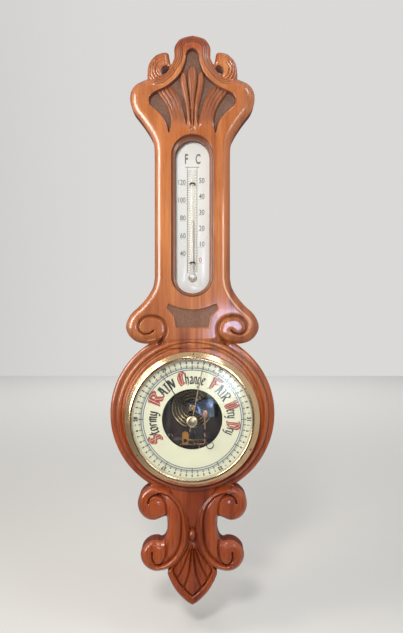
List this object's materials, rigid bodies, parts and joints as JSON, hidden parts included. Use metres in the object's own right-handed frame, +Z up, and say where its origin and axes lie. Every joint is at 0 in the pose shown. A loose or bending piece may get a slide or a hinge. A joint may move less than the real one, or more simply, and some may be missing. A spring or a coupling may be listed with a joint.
{
  "type": "banjo barometer",
  "caption": "Carved oak banjo barometer with a thermometer in the stem and an aneroid movement behind a round open-centred dial, for hanging on a wall.",
  "frame": {"origin": "centre of the hanging hole in the hanger plate, on the wall plane at the back of the case", "axes": "+Z up the case, +X to the viewer's right, -Y out of the wall towards the viewer"},
  "size_m": [0.2206, 0.0515, 0.7616],
  "materials": {
    "oak": "glossy varnished oak, carved",
    "plain_oak": "unfinished thin oak",
    "brass": "polished and lacquered, slightly worn",
    "aged_brass": "dull aged brass",
    "copper": "copper-coloured metal, satin",
    "steel": "polished steel",
    "black_steel": "blued black steel",
    "dark_plate": "dark lacquered base plate",
    "ivory": "ivory enamelled dial with printed scale",
    "opal": "white opal glass with printed scale",
    "clear_glass": "clear polished glass",
    "mercury": "liquid mercury"
  },
  "bodies": {
    "case": {"carved_case": "oak", "hanger_plate": "aged_brass", "hanger_screw_1": "aged_brass", "hanger_screw_2": "aged_brass", "thermometer_plate": "opal", "thermometer_tube": "clear_glass", "mercury_column": "mercury", "tube_clip_1": "steel", "tube_clip_2": "steel", "thermometer_backing": "plain_oak", "backing_screw_1": "aged_brass", "backing_screw_2": "aged_brass", "backing_screw_3": "aged_brass", "backing_screw_4": "aged_brass", "movement_can": "aged_brass", "movement_base": "dark_plate", "base_screw_1": "steel", "base_screw_2": "steel", "base_screw_3": "steel", "vacuum_capsule": "aged_brass", "capsule_post": "brass", "post_collar": "brass", "c_spring": "steel", "spring_screw_1": "steel", "spring_screw_2": "steel", "shaft_bracket": "aged_brass", "bracket_screw_1": "steel", "bracket_screw_2": "steel", "arbor_bridge": "copper", "bridge_pillar_1": "brass", "bridge_pillar_2": "brass", "bridge_screw_1": "steel", "bridge_screw_2": "steel", "hairspring": "black_steel", "dial_plate": "ivory", "dial_glass": "clear_glass", "glass_ring": "aged_brass", "bezel": "brass", "bezel_pin_1": "aged_brass", "bezel_pin_2": "aged_brass", "bezel_pin_3": "aged_brass"},
    "pressure_hand": {"pressure_hand": "black_steel", "centre_arbor": "steel"},
    "set_hand": {"set_hand": "brass", "set_hand_knob": "brass", "set_hand_collar": "brass"},
    "rocking_shaft": {"rocking_shaft": "copper"},
    "main_lever": {"main_lever": "copper", "lever_screw": "copper"},
    "link_rod": {"link_rod": "steel"},
    "drive_chain": {"drive_chain": "steel"},
    "adjusting_screw": {"adjusting_screw": "aged_brass"}
  },
  "joints": [
    {"name": "pressure_hand_turn", "type": "hinge", "parent": "case", "child": "pressure_hand", "pos_m": [0, -0.034, -0.4804], "axis": [0, 1, 0], "range_deg": [-95, 160], "stiffness_Nm_per_rad": 0.004, "deforming": ["hairspring", "vacuum_capsule", "c_spring"]},
    {"name": "set_hand_turn", "type": "hinge", "parent": "case", "child": "set_hand", "pos_m": [0, -0.04, -0.4804], "axis": [0, 1, 0], "continuous": true},
    {"name": "rocking_shaft_turn", "type": "hinge", "parent": "case", "child": "rocking_shaft", "pos_m": [0.0025, -0.016, -0.5174], "axis": [1, 0, 0], "range_deg": [-17.5, 10.5]},
    {"name": "main_lever_flex", "type": "hinge", "parent": "case", "child": "main_lever", "pos_m": [0.0166, -0.0225, -0.4759], "axis": [1, 0, 0], "range_deg": [-1.2, 2]},
    {"name": "link_turn", "type": "hinge", "parent": "main_lever", "child": "link_rod", "pos_m": [0.0166, -0.0236, -0.5134], "axis": [1, 0, 0], "range_deg": [-2, 1.2]},
    {"name": "chain_slide", "type": "slide", "parent": "case", "child": "drive_chain", "axis": [-0.3027, 0, 0.9531], "range_m": [-0.0026, 0.0044]},
    {"name": "adjusting_screw_turn", "type": "hinge", "parent": "case", "child": "adjusting_screw", "pos_m": [-0.03, -0.005, -0.5084], "axis": [0, 1, 0], "range_deg": [-180, 180]}
  ],
  "couplings": [
    {"joint": "rocking_shaft_turn", "follows": "pressure_hand_turn", "ratio": -0.1064},
    {"joint": "main_lever_flex", "follows": "pressure_hand_turn", "ratio": 0.01135},
    {"joint": "link_turn", "follows": "pressure_hand_turn", "ratio": -0.01135},
    {"joint": "chain_slide", "follows": "pressure_hand_turn", "m_per_rad": 0.0015}
  ]
}
